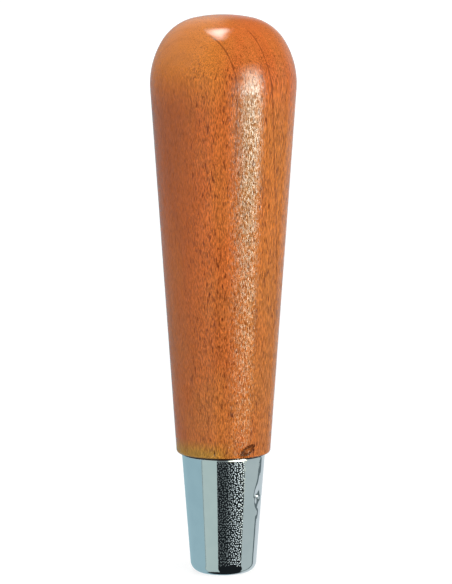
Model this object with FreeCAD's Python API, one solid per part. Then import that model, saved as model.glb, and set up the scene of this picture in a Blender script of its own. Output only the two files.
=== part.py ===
import FreeCAD, Part
import math
import os

# A turned wooden handle for a ring mandrel or a file, with its chromed steel ferrule and the
# threaded steel insert that grips the tool's tang. Millimetres.
# The origin is the centre of the ferrule's flat end, where the tang goes in, and +Z runs up to the
# rounded butt. Everything is turned about Z apart from the two punch marks and the insert's ribs.

# Whole handle
HANDLE_LENGTH = 130.0
FERRULE_LENGTH = 27.9
SEAM_GAP = 0.2              # open line between the ferrule's rim and the wooden shoulder

# Wooden grip: a straight taper that widens towards the butt, closed by three tangent arcs.
# Each arc is (radius, elevation in degrees of its outward normal where it ends), crown first.
GRIP_TAPER = math.radians(4.03)
CROWN_ARC = (32.2, 78.2)
TURN_ARC = (11.6, 31.7)
BELLY_ARC = (18.9, -math.degrees(GRIP_TAPER))
SHOULDER_ROUND = 0.87       # broken lower edge of the grip

# Ferrule: a drawn cup of tapered tube with a rounded, turned-in end
FERRULE_TAPER = math.radians(4.47)
FERRULE_RIM_R = 9.67        # outside, at the rim
FERRULE_WALL = 0.8
FERRULE_CORNER = 2.54       # outside radius of the turned-in end
RIM_ROUND = 0.25
TANG_HOLE_R = 4.1           # hole in the closed end
HOLE_CHAMFER = 0.15

# Punch marks that lock the ferrule on the wood, opposite each other
PUNCH_R = 3.0               # ball end of the punch
PUNCH_DEPTH = 0.35
PUNCH_Z = 18.5
PUNCH_AZIMUTH = 63.8        # degrees from -Y towards +X

# Threaded insert, its flange trapped between the ferrule's closed end and the tenon
FLANGE_R = 6.2
FLANGE_THICKNESS = 2.0
FLANGE_ROUND = 1.5
BARREL_R = 4.6
BARREL_LENGTH = 13.2
BARREL_CHAMFER = 0.4
RIB_COUNT = 12
RIB_HEIGHT = 0.3
RIB_MARGIN = 1.3            # bare barrel at each end of the ribs
THREAD_MINOR_R = 3.0
THREAD_DEPTH = 0.55
THREAD_PITCH = 1.5
THREAD_ROOT_FLAT = 0.15
THREAD_MOUTH = 0.7          # countersink at both ends of the thread

# Holes in the wood
COUNTERBORE_SPARE = 0.6     # the counterbore goes this much past the insert
TANG_BORE_R = 3.5
TANG_BORE_END = 75.0
DRILL_POINT = math.radians(59.0)
TENON_CHAMFER = 0.4

AXIS_POINT = FreeCAD.Vector(0, 0, 0)
UP = FreeCAD.Vector(0, 0, 1)


def at(r, z):
    """A point of a turned outline, r from the axis and z up."""
    return FreeCAD.Vector(r, 0, z)


def along(centre, radius, angle):
    """The point at an angle, in radians above horizontal, on an arc in the outline's plane."""
    return centre + FreeCAD.Vector(math.cos(angle), 0, math.sin(angle)) * radius


def arc(centre, radius, start, end):
    middle = (start + end) / 2
    points = [along(centre, radius, angle) for angle in (start, middle, end)]
    return Part.Arc(*points).toShape()


def outline(*steps):
    """Join arcs, and the straight lines between them and any bare points, into one closed wire."""
    edges = []
    first = None
    last = None
    for step in steps:
        is_arc = isinstance(step, Part.Edge)
        begin = step.valueAt(step.FirstParameter) if is_arc else step
        end = step.valueAt(step.LastParameter) if is_arc else step
        if last is None:
            first = begin
        elif (begin - last).Length > 1e-7:
            edges.append(Part.LineSegment(last, begin).toShape())
        if is_arc:
            edges.append(step)
        last = end
    edges.append(Part.LineSegment(last, first).toShape())
    return Part.Wire(edges)


def turned(*steps):
    """The solid that an outline makes when it is turned once round the Z axis."""
    return Part.Face(outline(*steps)).revolve(AXIS_POINT, UP, 360)


def ferrule_r(z):
    """Outside radius of the ferrule's taper."""
    return FERRULE_RIM_R + math.tan(FERRULE_TAPER) * (z - FERRULE_LENGTH)


def bore_r(z):
    """Inside radius of the ferrule's taper, and so the tenon's radius."""
    return ferrule_r(z) - FERRULE_WALL / math.cos(FERRULE_TAPER)


def ferrule_corner():
    """Centre of the ferrule's rounded end corner, shared by its outside and its inside."""
    z = FERRULE_CORNER
    return at(ferrule_r(z) - FERRULE_CORNER / math.cos(FERRULE_TAPER), z)


def punch_centres():
    """Centres of the ball that makes the two opposite punch marks."""
    surface = ferrule_r(PUNCH_Z)
    reach = surface + PUNCH_R - PUNCH_DEPTH
    for side in (0, 180):
        azimuth = math.radians(PUNCH_AZIMUTH + side)
        yield FreeCAD.Vector(reach * math.sin(azimuth), -reach * math.cos(azimuth), PUNCH_Z)


def ferrule():
    corner = ferrule_corner()
    rim_z = FERRULE_LENGTH - RIM_ROUND
    rim = at(ferrule_r(rim_z) - RIM_ROUND / math.cos(FERRULE_TAPER), rim_z)
    inside = FERRULE_CORNER - FERRULE_WALL
    shell = turned(
        at(TANG_HOLE_R, HOLE_CHAMFER),
        at(TANG_HOLE_R + HOLE_CHAMFER, 0),
        arc(corner, FERRULE_CORNER, -math.pi / 2, -FERRULE_TAPER),
        arc(rim, RIM_ROUND, -FERRULE_TAPER, math.pi / 2),
        at(bore_r(FERRULE_LENGTH), FERRULE_LENGTH),
        arc(corner, inside, -FERRULE_TAPER, -math.pi / 2),
        at(TANG_HOLE_R, FERRULE_WALL),
    )
    for centre in punch_centres():
        pushed_in = Part.makeSphere(PUNCH_R + FERRULE_WALL, centre)
        shell = shell.fuse(pushed_in.common(ferrule_filling()))
        shell = shell.cut(Part.makeSphere(PUNCH_R, centre))
    return shell.removeSplitter().Solids[0]


def ferrule_filling():
    """The turned space inside the ferrule's straight taper."""
    low = ferrule_corner().z
    return turned(
        at(0, low),
        at(bore_r(low), low),
        at(bore_r(FERRULE_LENGTH), FERRULE_LENGTH),
        at(0, FERRULE_LENGTH),
    )


def insert_blank():
    """The insert before it is bored: flange, barrel and the ribs that bite into the wood."""
    low = FERRULE_WALL
    step = low + FLANGE_THICKNESS
    top = step + BARREL_LENGTH
    flange_corner = at(FLANGE_R - FLANGE_ROUND, low + FLANGE_ROUND)
    blank = turned(
        at(0, low),
        arc(flange_corner, FLANGE_ROUND, -math.pi / 2, 0),
        at(FLANGE_R, step),
        at(BARREL_R, step),
        at(BARREL_R, top - BARREL_CHAMFER),
        at(BARREL_R - BARREL_CHAMFER, top),
        at(0, top),
    )
    for index in range(RIB_COUNT):
        blank = blank.fuse(rib(360 / RIB_COUNT * index, step + RIB_MARGIN, top - RIB_MARGIN))
    return blank.removeSplitter()


def rib(azimuth, low, high):
    """One three-sided ridge along the barrel."""
    root = BARREL_R - RIB_HEIGHT
    corners = [
        FreeCAD.Vector(root, -2 * RIB_HEIGHT, low),
        FreeCAD.Vector(BARREL_R + RIB_HEIGHT, 0, low),
        FreeCAD.Vector(root, 2 * RIB_HEIGHT, low),
    ]
    ridge = Part.Face(Part.makePolygon(corners + corners[:1])).extrude(UP * (high - low))
    ridge.rotate(AXIS_POINT, UP, azimuth)
    return ridge


def thread_groove(low, high):
    """The helical groove of a 60 degree thread, cut outwards from its minor diameter."""
    inner = THREAD_MINOR_R - THREAD_DEPTH / 2
    outer = THREAD_MINOR_R + THREAD_DEPTH
    half_root = THREAD_ROOT_FLAT / 2
    half_mouth = half_root + (outer - inner) * math.tan(math.radians(30))
    start = low - THREAD_PITCH
    path = Part.makeHelix(THREAD_PITCH, high - low + 2 * THREAD_PITCH, THREAD_MINOR_R)
    path.translate(UP * start)
    section = Part.makePolygon([
        at(inner, start - half_mouth),
        at(outer, start - half_root),
        at(outer, start + half_root),
        at(inner, start + half_mouth),
        at(inner, start - half_mouth),
    ])
    return Part.Wire(path).makePipeShell([section], True, True)


def tang_insert():
    low = FERRULE_WALL
    top = low + FLANGE_THICKNESS + BARREL_LENGTH
    mouth_r = THREAD_MINOR_R + THREAD_MOUTH
    hole = turned(
        at(0, low),
        at(mouth_r, low),
        at(THREAD_MINOR_R, low + THREAD_MOUTH),
        at(THREAD_MINOR_R, top - THREAD_MOUTH),
        at(mouth_r, top),
        at(0, top),
    )
    return insert_blank().cut(hole).cut(thread_groove(low, top)).Solids[0]


def butt_arcs():
    """The three arcs that close the grip, from the crown on the axis down to the taper."""
    arcs = []
    start = math.pi / 2
    centre = at(0, HANDLE_LENGTH - CROWN_ARC[0])
    for (radius, end), following in zip((CROWN_ARC, TURN_ARC, BELLY_ARC), (TURN_ARC, BELLY_ARC, None)):
        end = math.radians(end)
        arcs.append(arc(centre, radius, start, end))
        if following:
            centre = along(centre, radius - following[0], end)
        start = end
    return arcs


def grip():
    shoulder = FERRULE_LENGTH + SEAM_GAP
    tenon_end = FERRULE_WALL + FLANGE_THICKNESS
    butt = butt_arcs()
    taper_top = butt[-1].valueAt(butt[-1].LastParameter)
    edge_z = shoulder + SHOULDER_ROUND
    edge_r = taper_top.x - math.tan(GRIP_TAPER) * (taper_top.z - edge_z)
    edge = at(edge_r - SHOULDER_ROUND / math.cos(GRIP_TAPER), edge_z)
    chamfer_z = tenon_end + TENON_CHAMFER
    body = turned(
        *butt,
        arc(edge, SHOULDER_ROUND, -GRIP_TAPER, -math.pi / 2),
        at(bore_r(shoulder), shoulder),
        at(bore_r(chamfer_z), chamfer_z),
        at(bore_r(tenon_end) - TENON_CHAMFER, tenon_end),
        at(0, tenon_end),
    )
    body = body.cut(insert_blank()).cut(tang_bore(tenon_end))
    for centre in punch_centres():
        body = body.cut(Part.makeSphere(PUNCH_R + FERRULE_WALL, centre))
    return body.Solids[0]


def tang_bore(low):
    """The counterbore for the insert, and the drilled hole behind it for the tang's tip."""
    counterbore_end = low + BARREL_LENGTH + COUNTERBORE_SPARE
    return turned(
        at(0, low),
        at(BARREL_R, low),
        at(BARREL_R, counterbore_end),
        at(TANG_BORE_R, counterbore_end),
        at(TANG_BORE_R, TANG_BORE_END),
        at(0, TANG_BORE_END + TANG_BORE_R / math.tan(DRILL_POINT)),
    )


os.makedirs("parts", exist_ok=True)
for name, shape in (("grip", grip()), ("ferrule", ferrule()), ("tang_insert", tang_insert())):
    shape.exportStep("parts/" + name + ".step")
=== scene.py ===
import math
from collections import namedtuple

import bpy
import numpy as np
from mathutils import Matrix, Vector


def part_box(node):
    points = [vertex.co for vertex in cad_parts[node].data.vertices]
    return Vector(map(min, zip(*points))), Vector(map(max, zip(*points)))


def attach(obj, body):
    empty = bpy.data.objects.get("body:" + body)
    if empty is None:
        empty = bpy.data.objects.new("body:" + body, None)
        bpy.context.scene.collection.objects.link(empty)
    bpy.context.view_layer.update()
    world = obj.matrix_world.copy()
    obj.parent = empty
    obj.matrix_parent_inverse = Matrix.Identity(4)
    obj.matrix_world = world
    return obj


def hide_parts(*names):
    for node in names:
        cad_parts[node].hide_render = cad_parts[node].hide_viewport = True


# A turned wooden tool handle with a chromed ferrule. Metres, in the CAD frame: +Z runs from the
# ferrule's end, on the floor, to the rounded butt. Azimuths are in degrees from -Y towards +X, so
# the camera stands at azimuth 0 and +X is on its right. The materials work in millimetres.

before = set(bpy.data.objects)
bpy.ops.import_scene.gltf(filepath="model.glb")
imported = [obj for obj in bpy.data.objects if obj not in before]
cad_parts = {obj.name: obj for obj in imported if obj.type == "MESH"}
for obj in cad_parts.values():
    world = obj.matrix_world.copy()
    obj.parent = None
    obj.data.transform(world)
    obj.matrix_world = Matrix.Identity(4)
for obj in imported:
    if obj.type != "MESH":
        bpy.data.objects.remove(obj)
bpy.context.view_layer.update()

MM = 0.001

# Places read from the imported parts
BUTT_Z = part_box("grip")[1].z
TENON_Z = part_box("grip")[0].z
RIM_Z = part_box("ferrule")[1].z

# The grip's outline, as in the CAD part: three tangent arcs, each (radius, degrees where it ends),
# then a straight taper and a rounded lower edge
GRIP_TAPER = math.radians(4.03)
BUTT_ARCS = ((32.2 * MM, 78.2), (11.6 * MM, 31.7), (18.9 * MM, -4.03))
SHOULDER_Z = RIM_Z + 0.2 * MM
SHOULDER_ROUND = 0.87 * MM

# The ferrule's outline
FERRULE_TAPER = math.radians(4.47)
RIM_R = 9.67 * MM
WALL = 0.8 * MM
CORNER = 2.54 * MM
RIM_ROUND = 0.25 * MM
TANG_HOLE_R = 4.1 * MM
LIP_ROUND = 0.2 * MM

# The holes in the wood
BARREL_R = 4.6 * MM
COUNTERBORE_Z = TENON_Z + 13.8 * MM
TANG_BORE_R = 3.5 * MM
TANG_BORE_Z = 75 * MM
DRILL_POINT = math.radians(59)
TENON_CLEARANCE = 0.02 * MM

# Marks in the surface: (azimuth, height)
PUNCH = (63.8, 18.5 * MM)
KNOT = (31.0, 30.05 * MM)
CHECK = (-10.8, 29.6 * MM)

# A punch mark: a small pit, a little left of the middle of a wide shallow dent
DENT_DEPTH = 0.33 * MM
DENT_WIDE = 1.7 * MM
DENT_HIGH = 2.5 * MM
PIT_DEPTH = 0.3 * MM
PIT_R = 0.65 * MM
PIT_LEFT = 0.3 * MM

# The knot: a leaning oval, a little sunken inside a groove
KNOT_LEAN = math.radians(30)
KNOT_LONG = 1.55 * MM
KNOT_SHORT = 0.8 * MM
KNOT_SUNK = 0.04 * MM
GROOVE_DEPTH = 0.02 * MM
GROOVE_WIDE = 0.3

# The short check beside the knot
CHECK_DEPTH = 0.12 * MM
CHECK_WIDE = 0.12 * MM
CHECK_HIGH = 0.6 * MM

# Spacing of the meshes' points along the outlines
LIP_STEP = 0.08 * MM
RIM_STEP = 0.06 * MM
MARK_STEP = 0.1 * MM
CORNER_STEP = 0.15 * MM
FERRULE_STEP = 0.25 * MM
BUTT_STEP = 0.5 * MM
TAPER_STEP = 0.7 * MM
INNER_CORNER_STEP = 0.3 * MM
INSIDE_STEP = 3 * MM
HOLE_STEP = 6 * MM

# They are closer together below this height on the grip, and this far above and below a punch
KNOT_REACH_Z = 33 * MM
PUNCH_REACH = 2 * MM

# Points round the turned meshes
GRIP_TURN = 360
FERRULE_TURN = 420

# A point nearer to the axis than this is on it, and a sharper edge than this is not smoothed
ON_AXIS = 1e-9
SHARP_EDGE = math.radians(35)

# The grip's radius at the knot and the check, roughly
LOW_R = 9 * MM


# ---------------------------------------------------------------- outlines and turned meshes

def polar(centre, radius, degrees):
    angle = math.radians(degrees)
    return (centre[0] + radius * math.cos(angle), centre[1] + radius * math.sin(angle))


def arc(centre, radius, start, end, step):
    """Points of an arc in the outline's plane, (r, z), from one angle in degrees to another."""
    count = max(2, math.ceil(abs(math.radians(end - start)) * radius / step))
    return [polar(centre, radius, start + (end - start) * i / count) for i in range(count + 1)]


def line(start, end, step):
    """Points of a straight run, without its two ends."""
    length = math.dist(start, end)
    count = max(1, math.ceil(length / step))
    return [
        (start[0] + (end[0] - start[0]) * i / count, start[1] + (end[1] - start[1]) * i / count)
        for i in range(1, count)
    ]


def joined(*runs, step):
    """One list of points from arcs and bare points, with straight runs between them."""
    points = []
    for run in runs:
        run = run if isinstance(run, list) else [run]
        if points:
            points += line(points[-1], run[0], step)
        points += run
    return points


def spread_azimuths(count, marks, width=9.0, gain=5.0):
    """Azimuths round a full turn, closer together within a width in degrees of the marks."""
    fine = np.linspace(0, 360, 7201)
    density = np.ones_like(fine)
    for mark in marks:
        away = (fine - mark + 180) % 360 - 180
        density += gain * np.exp(-((away / width) ** 2))
    share = np.concatenate([[0], np.cumsum((density[1:] + density[:-1]) / 2)])
    return np.interp(np.arange(count) / count * share[-1], share, fine)


def turned(name, outline, azimuths, change):
    """A closed mesh made by turning an outline of (r, z) points round Z. Points on the axis become
    single vertices. change moves the vertices: it takes and returns an (n, 3) array."""
    angles = np.radians(azimuths)
    rings = []
    points = []
    for r, z in outline:
        if r < ON_AXIS:
            rings.append([len(points)] * len(angles))
            points.append((0.0, 0.0, z))
        else:
            rings.append(list(range(len(points), len(points) + len(angles))))
            points += [(r * math.sin(a), -r * math.cos(a), z) for a in angles]
    faces = []
    closed = outline[0][0] > ON_AXIS
    pairs = list(zip(rings, rings[1:])) + ([(rings[-1], rings[0])] if closed else [])
    for low, high in pairs:
        for i in range(len(angles)):
            j = (i + 1) % len(angles)
            corners = [low[i], low[j], high[j], high[i]]
            faces.append(list(dict.fromkeys(corners)))
    places = change(np.array(points))
    mesh = bpy.data.meshes.new(name)
    mesh.from_pydata(places.tolist(), [], faces)
    mesh.validate()
    piece = bpy.data.objects.new(name, mesh)
    bpy.context.scene.collection.objects.link(piece)
    outward(mesh)
    mesh.polygons.foreach_set("use_smooth", [True] * len(mesh.polygons))
    mesh.set_sharp_from_angle(angle=SHARP_EDGE)
    return piece


def outward(mesh):
    """Turn the faces to look outwards, by the sign of the enclosed volume."""
    mesh.calc_loop_triangles()
    corners = np.zeros(len(mesh.loop_triangles) * 3, np.int32)
    mesh.loop_triangles.foreach_get("vertices", corners)
    places = np.zeros(len(mesh.vertices) * 3)
    mesh.vertices.foreach_get("co", places)
    a, b, c = places.reshape(-1, 3)[corners.reshape(-1, 3)].transpose(1, 0, 2)
    if np.einsum("ij,ij->i", a, np.cross(b, c)).sum() < 0:
        mesh.flip_normals()


def ferrule_r(z):
    return RIM_R + math.tan(FERRULE_TAPER) * (z - RIM_Z)


def bore_r(z):
    return ferrule_r(z) - WALL / math.cos(FERRULE_TAPER)


# ---------------------------------------------------------------- dents and marks in the surface

def local(places, mark, radius):
    """Distances from a mark along the surface, to the right and up, and whether a point is on the
    mark's side of the axis. radius is the surface's, roughly."""
    azimuth = math.radians(mark[0])
    right = places[:, 0] * math.cos(azimuth) + places[:, 1] * math.sin(azimuth)
    ahead = places[:, 0] * math.sin(azimuth) - places[:, 1] * math.cos(azimuth)
    return right, places[:, 2] - mark[1], ahead > 0.6 * radius


def push_in(places, depth):
    """Move points towards the axis by a depth each."""
    r = np.maximum(np.hypot(places[:, 0], places[:, 1]), ON_AXIS)
    scale = 1 - depth / r
    return np.column_stack([places[:, 0] * scale, places[:, 1] * scale, places[:, 2]])


def punched(places):
    """Two opposite punch marks in the ferrule's outer skin."""
    depth = np.zeros(len(places))
    middle_of_wall = ferrule_r(places[:, 2]) - WALL / 2
    outer_skin = np.hypot(places[:, 0], places[:, 1]) > middle_of_wall
    for side in (0, 180):
        right, up, near = local(places, (PUNCH[0] + side, PUNCH[1]), RIM_R)
        dent = DENT_DEPTH * np.exp(-((right / DENT_WIDE) ** 2) - (up / DENT_HIGH) ** 2)
        pit = PIT_DEPTH * np.clip(1 - (np.hypot(right + PIT_LEFT, up) / PIT_R) ** 2, 0, None)
        depth += np.where(near & outer_skin, dent + pit, 0)
    return push_in(places, depth)


def knotted(places):
    """The knot at the grip's lower edge, and the check."""
    right, up, near = local(places, KNOT, LOW_R)
    along = right * math.cos(KNOT_LEAN) + up * math.sin(KNOT_LEAN)
    across = -right * math.sin(KNOT_LEAN) + up * math.cos(KNOT_LEAN)
    ring = np.hypot(along / KNOT_LONG, across / KNOT_SHORT)
    groove = GROOVE_DEPTH * np.exp(-(((ring - 1) / GROOVE_WIDE) ** 2))
    floor = KNOT_SUNK * np.clip(1 - ring, 0, 1)
    depth = np.where(near, groove + floor, 0)
    right, up, near = local(places, CHECK, LOW_R)
    crack = np.exp(-((right / CHECK_WIDE) ** 2) - (up / CHECK_HIGH) ** 4)
    depth += np.where(near, CHECK_DEPTH * crack, 0)
    return push_in(places, depth)


# ---------------------------------------------------------------- the pieces

def butt_outline(step):
    """The grip's outline from the crown on the axis to the top of the taper."""
    points = []
    start = 90.0
    centre = (0.0, BUTT_Z - BUTT_ARCS[0][0])
    for index, (radius, end) in enumerate(BUTT_ARCS):
        if index:
            before = BUTT_ARCS[index - 1][0]
            centre = polar(centre, before - radius, start)
        run = arc(centre, radius, start, end, step)
        points += run[1:] if points else run
        start = end
    points[0] = (0.0, BUTT_Z)
    return points


def make_grip():
    butt = butt_outline(BUTT_STEP)
    top_r, top_z = butt[-1]

    def taper_r(z):
        return top_r - math.tan(GRIP_TAPER) * (top_z - z)

    edge_z = SHOULDER_Z + SHOULDER_ROUND
    edge = (taper_r(edge_z) - SHOULDER_ROUND / math.cos(GRIP_TAPER), edge_z)
    lower = arc(edge, SHOULDER_ROUND, -math.degrees(GRIP_TAPER), -90, MARK_STEP)
    outside = joined(butt, (taper_r(KNOT_REACH_Z), KNOT_REACH_Z), step=TAPER_STEP)
    outside = joined(outside, lower, step=MARK_STEP)
    outline = joined(
        outside,
        (bore_r(SHOULDER_Z) - TENON_CLEARANCE, SHOULDER_Z),
        (bore_r(TENON_Z) - TENON_CLEARANCE, TENON_Z),
        (BARREL_R, TENON_Z),
        (BARREL_R, COUNTERBORE_Z),
        (TANG_BORE_R, COUNTERBORE_Z),
        (TANG_BORE_R, TANG_BORE_Z),
        (0.0, TANG_BORE_Z + TANG_BORE_R / math.tan(DRILL_POINT)),
        step=HOLE_STEP,
    )
    azimuths = spread_azimuths(GRIP_TURN, (KNOT[0], CHECK[0]))
    return turned("wooden_grip", outline, azimuths, knotted)


def make_ferrule():
    corner = (ferrule_r(CORNER) - CORNER / math.cos(FERRULE_TAPER), CORNER)
    rim_z = RIM_Z - RIM_ROUND
    rim = (ferrule_r(rim_z) - RIM_ROUND / math.cos(FERRULE_TAPER), rim_z)
    lip = (TANG_HOLE_R + LIP_ROUND, LIP_ROUND)
    taper = math.degrees(FERRULE_TAPER)
    below = PUNCH[1] - PUNCH_REACH
    above = PUNCH[1] + PUNCH_REACH
    bottom = joined(
        arc(lip, LIP_ROUND, -180, -90, LIP_STEP),
        arc(corner, CORNER, -90, -taper, CORNER_STEP),
        (ferrule_r(below), below),
        step=FERRULE_STEP,
    )
    marked = joined(bottom, (ferrule_r(above), above), step=MARK_STEP)
    outline = joined(
        marked,
        arc(rim, RIM_ROUND, -taper, 90, RIM_STEP),
        (bore_r(RIM_Z), RIM_Z),
        step=FERRULE_STEP,
    )
    inside = joined(
        (bore_r(RIM_Z), RIM_Z),
        arc(corner, CORNER - WALL, -taper, -90, INNER_CORNER_STEP),
        (TANG_HOLE_R, WALL),
        (TANG_HOLE_R, LIP_ROUND),
        step=INSIDE_STEP,
    )
    azimuths = spread_azimuths(FERRULE_TURN, (PUNCH[0], PUNCH[0] + 180), width=22, gain=2.5)
    return turned("chromed_ferrule", outline + inside[1:-1], azimuths, punched)


# ---------------------------------------------------------------- shader nodes

class Graph:
    """Shader nodes written as nested calls. Each call adds a node and returns its output."""

    def __init__(self, tree):
        self.tree = tree
        tree.nodes.clear()

    def add(self, kind, inputs, output=0, **settings):
        made = self.tree.nodes.new("ShaderNode" + kind)
        for key, value in settings.items():
            setattr(made, key, value)
        for key, value in inputs.items():
            if isinstance(value, bpy.types.NodeSocket):
                self.tree.links.new(value, made.inputs[key])
            else:
                made.inputs[key].default_value = value
        return made.outputs[output] if made.outputs else None

    def math(self, operation, *values):
        return self.add("Math", dict(enumerate(values)), operation=operation)

    def vector(self, operation, *values, output=0):
        return self.add("VectorMath", dict(enumerate(values)), output, operation=operation)

    def xyz(self, x, y, z):
        return self.add("CombineXYZ", {0: x, 1: y, 2: z})

    def split(self, vector):
        made = self.add("SeparateXYZ", {0: vector}).node
        return made.outputs[0], made.outputs[1], made.outputs[2]

    def noise(self, vector, scale, detail=2.0, roughness=0.5):
        inputs = {"Vector": vector, "Scale": scale, "Detail": detail, "Roughness": roughness}
        return self.add("TexNoise", inputs)

    def streaks(self, mm, scales, detail, roughness=0.5):
        """Noise with its own scale per millimetre along X, Y and Z."""
        return self.noise(self.vector("MULTIPLY", mm, scales), 1.0, detail, roughness)

    def step(self, value, low, high, to_low=0.0, to_high=1.0):
        """A smooth step from to_low, at low, to to_high, at high."""
        inputs = {"Value": value, 1: low, 2: high, 3: to_low, 4: to_high}
        return self.add("MapRange", inputs, interpolation_type="SMOOTHSTEP")

    def mix(self, factor, first, second, blend="MIX"):
        inputs = {0: factor, 6: first, 7: second}
        return self.add("Mix", inputs, 2, data_type="RGBA", blend_type=blend)

    def tinted(self, factor, colour, tint):
        """A colour multiplied by a tint where the factor is 1."""
        return self.mix(factor, colour, self.mix(1.0, colour, tint, "MULTIPLY"))

    def grey(self, value):
        return self.add("CombineColor", {0: value, 1: value, 2: value})

    def times(self, *values):
        made = values[0]
        for value in values[1:]:
            made = self.math("MULTIPLY", made, value)
        return made

    def millimetres(self):
        """The place on the object, in millimetres."""
        made = self.vector("SCALE", self.add("TexCoord", {}, 3))
        made.node.inputs["Scale"].default_value = 1 / MM
        return made

    def along(self, vector, direction):
        """How far a place lies along a direction, which need not be of unit length."""
        return self.vector("DOT_PRODUCT", vector, direction, output=1)

    def around(self, mm, mark):
        """Millimetres to the right of a mark, above it, and 1 on its side of the handle."""
        a = math.radians(mark[0])
        right = self.along(mm, (math.cos(a), math.sin(a), 0))
        up = self.math("SUBTRACT", self.along(mm, (0, 0, 1)), mark[1] / MM)
        near = self.step(self.along(mm, (math.sin(a), -math.cos(a), 0)), 4, 5)
        return right, up, near

    def azimuth(self, x, y):
        """Degrees from -Y towards +X."""
        return self.math("DEGREES", self.math("ARCTAN2", x, self.times(y, -1.0)))

    def band(self, value, low, high, soft):
        """1 between low and high, with soft edges."""
        rise = self.step(value, low - soft, low + soft)
        fall = self.step(value, high - soft, high + soft, 1.0, 0.0)
        return self.math("MULTIPLY", rise, fall)

    def ramp(self, value, stops):
        made = self.add("ValToRGB", {0: value}).node
        elements = made.color_ramp.elements
        while len(elements) > 1:
            elements.remove(elements[0])
        elements[0].position = stops[0][0]
        elements[0].color = (*stops[0][1], 1)
        for place, colour in stops[1:]:
            elements.new(place).color = (*colour, 1)
        return made.outputs[0]

    def bump(self, height, distance, normal=None):
        inputs = {"Height": height, "Distance": distance, "Strength": 1.0}
        if normal:
            inputs["Normal"] = normal
        return self.add("Bump", inputs)


def material(name):
    made = bpy.data.materials.new(name)
    made.use_nodes = True
    return made, Graph(made.node_tree)


def finish_with(graph, **inputs):
    shader = graph.add("BsdfPrincipled", {k.replace("_", " "): v for k, v in inputs.items()})
    graph.add("OutputMaterial", {"Surface": shader})


# ---------------------------------------------------------------- lacquered beech

# The wood's colours, from light to dark
# This colour is painted light: the dome's upper left drawn lighter and yellower, as if lit from above
# on the left
DOME_PAINTED_LIGHT = (0.63, 0.195, 0.028, 1)
ORANGE = (0.565, 0.130, 0.024, 1)
TAWNY = (0.55, 0.150, 0.029, 1)
YELLOW = (0.52, 0.166, 0.025, 1)
STAIN = (0.42, 0.24, 0.028, 1)
# This colour is painted shade for the left side below the dome
LEFT_PAINTED_SHADE = (0.375, 0.098, 0.025, 1)
KNOT_BROWN = (0.30, 0.090, 0.016, 1)
RING_BROWN = (0.17, 0.035, 0.008, 1)
DASH_BROWN = (0.12, 0.020, 0.005, 1)
HEART_BROWN = (0.10, 0.014, 0.006, 1)
RIM_BROWN = (0.05, 0.012, 0.003, 1)
# This colour is painted shade, drawn near black where the wood meets the ferrule
SEAM_PAINTED_SHADE = (0.012, 0.004, 0.002, 1)

# Tints that the colours are multiplied by: on the lower half, and, as painted shade, in a band of
# azimuths on the front right under the long gloss
LOW_TINT = (0.88, 0.96, 1.04, 1)
GLOSS_PAINTED_SHADE = (0.60, 0.75, 0.82, 1)

# Scales of the wood's noises per millimetre: two across the handle, one along it
SHORT_GRAIN = (9.5, 9.5, 1.0)
LONG_GRAIN = (7.5, 7.5, 0.3)
DASHES = (4.6, 4.6, 0.50)
DASH_PATCHES = (0.5, 0.5, 0.12)
SLITS = (3.2, 3.2, 0.45)
CLOUDS = (0.12, 0.12, 0.05)
FIBRES = (6.5, 6.5, 1.1)

# Growth rings are nearly flat sheets across the grip, and RING_WAY is their usual normal. The two
# strong ones are (normal, distance along it in millimetres, height that they reach down to).
RING_WAY = (0.60, 0.80, 0.03)
STRONG_RINGS = (((0.602, 0.799, 0.032), -7.69, 94.0), ((0.682, 0.731, 0.127), 12.56, 60.0))
RING_SPACING = 2.4
WEAK_STRENGTH = 0.10
STRONG_STRENGTH = 0.72


def ring_lines(g, mm):
    """Dark lines at the ends of the growth rings, two of them strong, on the front and right."""
    z = g.along(mm, (0, 0, 1))
    wobble = g.math("MULTIPLY_ADD", g.noise(mm, 0.12, 1.0), 0.8, -0.4)
    place = g.math("ADD", g.along(mm, RING_WAY), wobble)
    broken = g.step(g.noise(mm, 0.6, 2.0), 0.24, 0.44)
    front = g.times(g.step(g.along(mm, (1, 0, 0)), -4.0, -2.0), g.step(z, 128.0, 126.0))
    weak = g.math("PINGPONG", place, RING_SPACING / 2)
    lines = g.times(g.step(weak, 0.0, 0.5, 1.0, 0.0), WEAK_STRENGTH)
    for way, distance, foot in STRONG_RINGS:
        place = g.math("MULTIPLY_ADD", wobble, 0.4, g.along(mm, way))
        away = g.math("ABSOLUTE", g.math("SUBTRACT", place, distance))
        strong = g.times(g.step(away, 0.06, 0.2, 1.0, 0.0), broken, front, STRONG_STRENGTH)
        lines = g.math("MAXIMUM", lines, g.times(strong, g.step(z, foot - 8, foot + 8)))
    return lines


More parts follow.
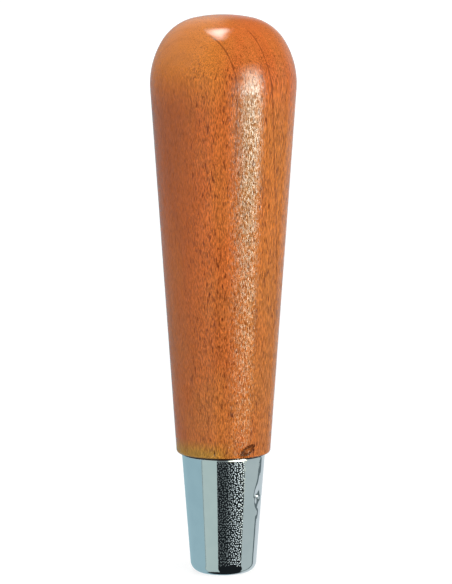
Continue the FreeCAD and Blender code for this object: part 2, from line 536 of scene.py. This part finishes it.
def knot_marks(g, mm):
    """The dark outline of the knot, with the check beside it, then its inside and its heart."""
    rough = g.math("MULTIPLY_ADD", g.noise(mm, 2.2, 3.0, 0.7), 1.5, -0.75)
    right, up, near = g.around(mm, KNOT)
    cos, sin = math.cos(KNOT_LEAN), math.sin(KNOT_LEAN)
    along = g.math("ADD", g.times(right, cos), g.times(up, sin))
    across = g.math("SUBTRACT", g.times(up, cos), g.times(right, sin))
    long = g.math("DIVIDE", along, KNOT_LONG / MM)
    short = g.math("DIVIDE", across, KNOT_SHORT / MM)
    ring = g.math("ADD", g.vector("LENGTH", g.xyz(long, short, 0.0), output=1), rough)
    edge = g.math("ABSOLUTE", g.math("SUBTRACT", ring, 1.0))
    faded = g.step(g.noise(mm, 3.0, 1.0), 0.35, 0.50, 0.6, 1.0)
    outline = g.times(g.step(edge, 0.20, 0.52, 1.0, 0.0), faded, near)
    inside = g.times(g.step(ring, 0.8, 1.0, 1.0, 0.0), near)
    mottle = g.step(g.noise(mm, 3.2, 2.0, 0.7), 0.44, 0.54)
    left_end = g.step(long, -0.8, -0.3, 1.0, 0.0)
    heart = g.times(g.math("MAXIMUM", g.times(mottle, 0.6), left_end), inside)
    right, up, near = g.around(mm, CHECK)
    bend = g.math("ADD", right, g.times(up, 0.12))
    check = g.times(g.band(bend, -0.12, 0.12, 0.05), g.band(up, -0.6, 0.7, 0.15), near)
    return g.math("MAXIMUM", outline, check), inside, heart


def wood_figure(g, mm, x, z):
    """How much the grain shows. The board's left side is cut along its rays and is smoother there,
    and the dome is a little smoother too."""
    ragged_x = g.math("ADD", x, g.times(g.noise(mm, 0.08, 1.0), 4.0))
    return g.times(g.step(ragged_x, -8.0, -1.5, 0.38, 1.0), g.step(z, 126.0, 112.0, 0.6, 1.0))


def wood_grain(g, mm, x):
    """Fine grain drawn out along the handle, in longer lines on the right."""
    short = g.streaks(mm, SHORT_GRAIN, 1.0)
    long = g.streaks(mm, LONG_GRAIN, 1.0)
    share = g.step(x, 6.0, 11.0, 0.3, 0.75)
    return g.math("ADD", g.times(short, g.math("SUBTRACT", 1.0, share)), g.times(long, share))


def ray_dashes(g, mm):
    """Short dark dashes where the rays end, gathered in patches, and a few longer slits."""
    dashes = g.streaks(mm, DASHES, 0.0)
    patch = g.streaks(mm, DASH_PATCHES, 1.0)
    deep = g.math("SUBTRACT", g.math("MULTIPLY_ADD", patch, 0.34, 0.142), dashes)
    slits = g.streaks(mm, SLITS, 0.0)
    return g.math("MAXIMUM", g.step(deep, 0.0, 0.06), g.step(slits, 0.265, 0.22))


def broad_colour(g, mm, x, y, z):
    """The wood's colour without its grain: painted light on the dome's upper left, which is drawn
    lighter and yellower, painted shade on the left side below it, which is drawn browner, a little
    yellower on the right, stained at the lower left edge, and painted shade in a band on the front
    right, under the long gloss."""
    colour = g.mix(g.step(g.streaks(mm, CLOUDS, 2.0), 0.35, 0.65), ORANGE, TAWNY)
    yellow = g.times(g.step(x, 2.0, 14.0), g.step(z, 118.0, 100.0), 0.8)
    colour = g.mix(yellow, colour, YELLOW)
    # Painted light: the dome's upper left is drawn lighter and yellower
    dome = g.times(g.step(x, 4.0, -5.0), g.step(z, 108.0, 121.0))
    colour = g.mix(dome, colour, DOME_PAINTED_LIGHT)
    # Painted shade: the left side below the dome is drawn darker and browner
    left_shade = g.times(g.step(x, -1.0, -12.0), g.step(z, 119.0, 107.0), g.step(z, 60.0, 100.0, 0.5, 0.9))
    colour = g.mix(left_shade, colour, LEFT_PAINTED_SHADE)
    stain = g.times(g.step(z, 33.0, 29.0), g.step(x, 4.0, -4.0), 0.7)
    colour = g.mix(stain, colour, STAIN)
    colour = g.tinted(g.step(z, 85.0, 55.0), colour, LOW_TINT)
    # Painted shade: a band on the front right, under the long gloss, is drawn darker
    gloss_shade = g.band(g.azimuth(x, y), 12.0, 30.0, 7.0)
    gloss_shade = g.times(gloss_shade, g.step(z, 121.0, 112.0), g.step(z, 48.0, 92.0))
    return g.tinted(gloss_shade, colour, GLOSS_PAINTED_SHADE)


def beech():
    made, g = material("lacquered_beech")
    mm = g.millimetres()
    x, y, z = g.split(mm)
    figured = wood_figure(g, mm, x, z)
    grain = wood_grain(g, mm, x)
    tone = g.math("SUBTRACT", g.step(grain, 0.36, 0.64, 0.53, 1.47), 1.0)
    tone = g.math("MULTIPLY_ADD", tone, figured, 1.0)
    colour = g.mix(1.0, broad_colour(g, mm, x, y, z), g.grey(tone), "MULTIPLY")
    colour = g.mix(g.times(ray_dashes(g, mm), figured, 0.82), colour, DASH_BROWN)
    colour = g.mix(ring_lines(g, mm), colour, RING_BROWN)
    outline, inside, heart = knot_marks(g, mm)
    colour = g.mix(g.times(inside, 0.7), colour, KNOT_BROWN)
    colour = g.mix(g.times(heart, 0.8), colour, HEART_BROWN)
    colour = g.mix(g.times(outline, 0.92), colour, RIM_BROWN)
    # Painted shade: the wood next to the ferrule, from its lower edge down, is drawn near black as
    # the shadow in the gap there
    seam_shade = g.step(z, SHOULDER_Z / MM + 0.4, SHOULDER_Z / MM + 0.15)
    colour = g.mix(g.times(seam_shade, 0.97), colour, SEAM_PAINTED_SHADE)

    # The lacquer dips over every fibre, which tilts its gloss a little up and down and dims it in
    # places. The knot is duller than the wood round it.
    surface = g.bump(grain, 0.02 * MM)
    fibres = g.streaks(mm, FIBRES, 1.0, 0.6)
    dip = g.math("MULTIPLY_ADD", fibres, 0.22, -0.11)
    film = g.vector("NORMALIZE", g.vector("ADD", surface, g.xyz(0.0, 0.0, dip)))
    dull = g.step(g.math("MAXIMUM", outline, inside), 0.0, 1.0, 1.0, 0.35)
    finish_with(
        g,
        Base_Color=colour,
        Roughness=0.55,
        Specular_IOR_Level=0.0,
        Normal=surface,
        Coat_Weight=g.times(g.step(fibres, 0.41, 0.55, 0.20, 0.92), dull),
        Coat_Roughness=0.05,
        Coat_IOR=1.5,
        Coat_Normal=film,
    )
    return made


# ---------------------------------------------------------------- metals

CHROME_TONES = ((0.70, 0.725, 0.735, 1), (0.735, 0.755, 0.76, 1))
SPECKS_PER_MM = 2.2
SPECK_REACH = 6.5

STEEL_TONES = ((0.20, 0.19, 0.18, 1), (0.33, 0.32, 0.31, 1))
LATHE_MARKS = (0.5, 0.5, 9.0)


def chrome():
    """Bright chrome. Fine, evenly spread specks on its front and back tilt the surface upwards, a
    little more near its foot."""
    made, g = material("chromed_steel")
    mm = g.millimetres()
    x, _, z = g.split(mm)
    spread = {"Vector": g.xyz(x, z, 0.0), "Scale": SPECKS_PER_MM, "Randomness": 0.8}
    away = g.add("TexVoronoi", spread, voronoi_dimensions="2D")
    specks = g.times(g.step(away, 0.36, 0.21), g.band(x, -SPECK_REACH, SPECK_REACH, 0.5))
    tilt = g.times(specks, g.step(z, 0.0, 28.0, 0.028, 0.017))
    normal = g.vector("ADD", g.add("NewGeometry", {}, 1), g.xyz(0.0, 0.0, tilt))
    normal = g.vector("NORMALIZE", normal)
    finish_with(
        g,
        Base_Color=g.mix(g.step(g.noise(mm, 0.25, 2.0), 0.3, 0.7), *CHROME_TONES),
        Metallic=1.0,
        Roughness=0.03,
        Normal=g.bump(g.noise(mm, 1.2, 2.0), 0.004 * MM, normal),
    )
    return made


def dark_steel():
    """Plain turned steel, with lathe marks round it and blotches."""
    made, g = material("machined_steel")
    mm = g.millimetres()
    blotch = g.noise(mm, 0.7, 3.0)
    finish_with(
        g,
        Base_Color=g.mix(g.step(blotch, 0.3, 0.7), *STEEL_TONES),
        Metallic=1.0,
        Roughness=g.step(blotch, 0.3, 0.7, 0.32, 0.45),
        Normal=g.bump(g.streaks(mm, LATHE_MARKS, 2.0), 0.01 * MM),
    )
    return made


# ---------------------------------------------------------------- studio

# A direction as shader values: its three parts, then its azimuth and height in degrees
Way = namedtuple("Way", "x y z azimuth height")

# The screens round the handle: (azimuth, colour), blended in between
BLUE = (0.37, 0.56, 0.63)
GREEN = (0.53, 0.66, 0.64)
GREY = (0.50, 0.59, 0.60)
PALE = (0.66, 0.74, 0.78)
SCREENS = (
    (-180, BLUE),
    (-59, BLUE),
    (-56, GREEN),
    (54, GREEN),
    (56, GREY),
    (119, GREY),
    (122, PALE),
    (180, PALE),
)

GAP = (0.12, 0.16, 0.17, 1)
DARK = (0.012, 0.016, 0.018, 1)
SILL = ((0.19, 0.22, 0.225, 1), (1.1, 1.24, 1.27, 1))
CEILING = ((0.20, 0.20, 0.20, 1), (1.05, 1.05, 1.04, 1))

# The tall soft box: how bright it is all over and in its core, and its colour from low to high
TALL_BOX = 9.5
TALL_BOX_CORE = 15.0
WARM_LOW = (1.0, 0.89, 0.20, 1)
WARM_MIDDLE = (1.0, 0.95, 0.67, 1)
WARM_HIGH = (0.92, 0.94, 0.80, 1)

OVERHEAD_BOX = 25.0

FLOOR_R = 6.0

# The camera: its aim is this far right of and above the middle of the handle
CAMERA_ELEVATION = 7.553
CAMERA_DISTANCE = 0.9
SENSOR_WIDTH = 36.0
FOCAL_LENGTH = 239.4
AIM_RIGHT = 0.60 * MM
AIM_UP = 0.72 * MM


def studio_walls(g, way):
    """Pale screens with gaps between them. Their upright edges all run towards one point on the
    floor, a little behind the handle. In front there is a sill, and it is dark below that."""
    below = g.math("MINIMUM", way.z, 0.0)
    across = g.math("MULTIPLY_ADD", below, 0.1, way.x)
    ahead = g.math("MULTIPLY_ADD", below, 0.6, way.y)
    screen = g.azimuth(across, ahead)
    turn = g.math("DIVIDE", g.math("ADD", screen, 180), 360)
    walls = g.ramp(turn, [((azimuth + 180) / 360, colour) for azimuth, colour in SCREENS])

    left_gap = g.times(g.band(screen, -57.5, -55.5, 0.5), 0.55)
    slant = g.times(g.step(way.height, -14.8, -13.4), g.step(way.height, -10.5, -12.5), 9.0)
    right_gap = g.times(g.band(g.math("SUBTRACT", way.azimuth, slant), 120.5, 128.5, 0.8), 0.95)
    walls = g.mix(g.math("MAXIMUM", left_gap, right_gap), walls, GAP)

    front = g.band(screen, -17, 55, 0.7)
    above_sill = g.times(front, g.step(way.height, -17.9, -17.2))
    under_sill = g.times(front, g.step(way.height, -17.2, -17.9))
    walls = g.mix(above_sill, walls, g.mix(g.step(screen, 0, 35), *SILL))
    floor_x = g.math("DIVIDE", way.x, below)
    floor_y = g.math("DIVIDE", way.y, below)
    off = g.xyz(g.math("ADD", floor_x, 0.06), g.math("ADD", floor_y, 0.29), 0.0)
    off = g.vector("LENGTH", off, output=1)
    foot = g.times(g.step(off, 0.6, 0.45), g.step(way.z, -0.3, -0.35))
    return g.mix(g.math("MAXIMUM", under_sill, foot), walls, DARK)


def tall_box(g, way):
    """A tall soft box on the front right, brightest in its core and warmer low down."""
    azimuth, height = way.azimuth, way.height
    near_edge = g.math("ADD", g.step(azimuth, 12, 17, 0.0, 0.40), g.step(azimuth, 20, 44, 0.0, 0.60))
    wide = g.times(near_edge, g.step(azimuth, 72, 57))
    wide = g.times(wide, g.step(height, -16.7, -11.0), g.step(height, 14.0, -6.0))
    core = g.times(g.step(azimuth, 26, 40), g.step(azimuth, 67, 57))
    core = g.times(core, g.step(height, -12.8, -7.0), g.step(height, 31.0, 9.0))
    power = g.math("ADD", g.times(wide, TALL_BOX), g.times(core, TALL_BOX_CORE))
    warmth = g.mix(g.step(height, -15.5, -12.0), WARM_LOW, WARM_MIDDLE)
    warmth = g.mix(g.step(height, -12.0, -9.0), warmth, WARM_HIGH)
    return g.mix(1.0, g.grey(power), warmth, "MULTIPLY")


def overhead_box(g, way):
    """A soft box overhead, a little to the left, narrower towards the front."""
    over_x = g.math("DIVIDE", way.x, way.z)
    over_y = g.math("DIVIDE", way.y, way.z)
    half = g.math("MULTIPLY_ADD", over_y, 0.27, 0.12)
    inward = g.math("SUBTRACT", half, g.math("ABSOLUTE", g.math("ADD", over_x, 0.09)))
    sides = g.step(inward, -0.015, 0.03)
    ends = g.times(g.step(over_y, -0.42, -0.18), g.step(over_y, 0.27, 0.20))
    return g.grey(g.times(sides, ends, g.step(way.z, 0.1, 0.2), OVERHEAD_BOX))


def studio_world():
    """What the gloss and the chrome reflect: a studio, seen by reflected rays only. Other rays see
    a plain dim world, and the camera sees white."""
    world = bpy.data.worlds.new("studio")
    bpy.context.scene.world = world
    world.use_nodes = True
    world.cycles.sampling_method = "NONE"
    g = Graph(world.node_tree)
    x, y, z = g.split(g.add("TexCoord", {}, 0))
    way = Way(x, y, z, g.azimuth(x, y), g.math("DEGREES", g.math("ARCSINE", z)))

    ceiling = g.mix(g.step(way.azimuth, -10, -60), *CEILING)
    glow = g.mix(g.step(way.height, 5, 30), studio_walls(g, way), ceiling)
    boxes = g.mix(1.0, tall_box(g, way), overhead_box(g, way), "ADD")
    glow = g.mix(1.0, glow, boxes, "ADD")

    rays = g.add("LightPath", {}).node.outputs
    plain = g.add("Background", {"Color": (0.12, 0.12, 0.12, 1)})
    reflected = g.add("Background", {"Color": glow})
    white = g.add("Background", {"Color": (1, 1, 1, 1)})
    shown = g.add("MixShader", {0: rays["Is Glossy Ray"], 1: plain, 2: reflected})
    shown = g.add("MixShader", {0: rays["Is Camera Ray"], 1: shown, 2: white})
    g.add("OutputWorld", {"Surface": shown})


def direction_of(azimuth, elevation):
    a = math.radians(azimuth)
    e = math.radians(elevation)
    return Vector((math.sin(a) * math.cos(e), -math.cos(a) * math.cos(e), math.sin(e)))


def area_light(name, azimuth, elevation, distance, size, power):
    data = bpy.data.lights.new(name, "AREA")
    data.shape = "DISK"
    data.size = size
    data.energy = power
    lamp = bpy.data.objects.new(name, data)
    towards = direction_of(azimuth, elevation)
    lamp.location = Vector((0, 0, BUTT_Z / 2)) + towards * distance
    lamp.rotation_mode = "QUATERNION"
    lamp.rotation_quaternion = towards.to_track_quat("Z", "Y")
    lamp.visible_glossy = False
    bpy.context.scene.collection.objects.link(lamp)


def floor_paper():
    """Pale paper that glows a little. To the camera it is evenly white further off."""
    made, g = material("pale_floor")
    place = g.add("TexCoord", {}, 3)
    tone = g.noise(place, 60.0, 3.0)
    colour = g.mix(tone, (0.89, 0.89, 0.89, 1), (0.91, 0.91, 0.91, 1))
    dim = g.mix(tone, (0.16, 0.16, 0.16, 1), (0.18, 0.18, 0.18, 1))
    lift = g.step(g.vector("LENGTH", place, output=1), 0.05, 2.2, 0.84, 1.0)
    paper = {"Roughness": 0.9, "Emission Color": (1, 1, 1, 1)}
    lit = g.add("BsdfPrincipled", {"Base Color": colour, "Emission Strength": 0.4, **paper})
    seen = g.add("BsdfPrincipled", {"Base Color": dim, "Emission Strength": lift, **paper})
    to_camera = g.add("LightPath", {}).node.outputs["Is Camera Ray"]
    g.add("OutputMaterial", {"Surface": g.add("MixShader", {0: to_camera, 1: lit, 2: seen})})
    return made


def make_floor():
    mesh = bpy.data.meshes.new("floor")
    turns = np.radians(range(0, 360, 5))
    corners = [(FLOOR_R * math.cos(t), FLOOR_R * math.sin(t), 0) for t in turns]
    mesh.from_pydata(corners, [], [list(range(len(corners)))])
    floor = bpy.data.objects.new("floor", mesh)
    floor.data.materials.append(floor_paper())
    floor.visible_glossy = False
    bpy.context.scene.collection.objects.link(floor)


def make_camera():
    """A long lens, a little above the middle of the handle."""
    data = bpy.data.cameras.new("camera")
    data.sensor_width = SENSOR_WIDTH
    data.lens = FOCAL_LENGTH
    camera = bpy.data.objects.new("camera", data)
    middle = Vector((0, 0, BUTT_Z / 2))
    camera.location = middle + direction_of(0, CAMERA_ELEVATION) * CAMERA_DISTANCE
    aim = middle + Vector((AIM_RIGHT, 0, AIM_UP))
    camera.rotation_mode = "QUATERNION"
    camera.rotation_quaternion = (camera.location - aim).to_track_quat("Z", "Y")
    bpy.context.scene.collection.objects.link(camera)
    bpy.context.scene.camera = camera


# ---------------------------------------------------------------- assembly

def dress(piece, node, finish):
    piece.data.materials.clear()
    piece.data.materials.append(finish)
    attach(piece, "root")
    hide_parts(node)


dress(make_grip(), "grip", beech())
dress(make_ferrule(), "ferrule", chrome())
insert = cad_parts["tang_insert"]
insert.data.materials.clear()
insert.data.materials.append(dark_steel())

make_floor()
studio_world()
area_light("overhead", azimuth=0, elevation=88, distance=1.5, size=1.0, power=20)
area_light("key", azimuth=60, elevation=25, distance=1.4, size=0.9, power=6.5)
area_light("front", azimuth=0, elevation=30, distance=1.5, size=0.9, power=3.2)
make_camera()
bpy.context.scene.view_settings.view_transform = "Standard"
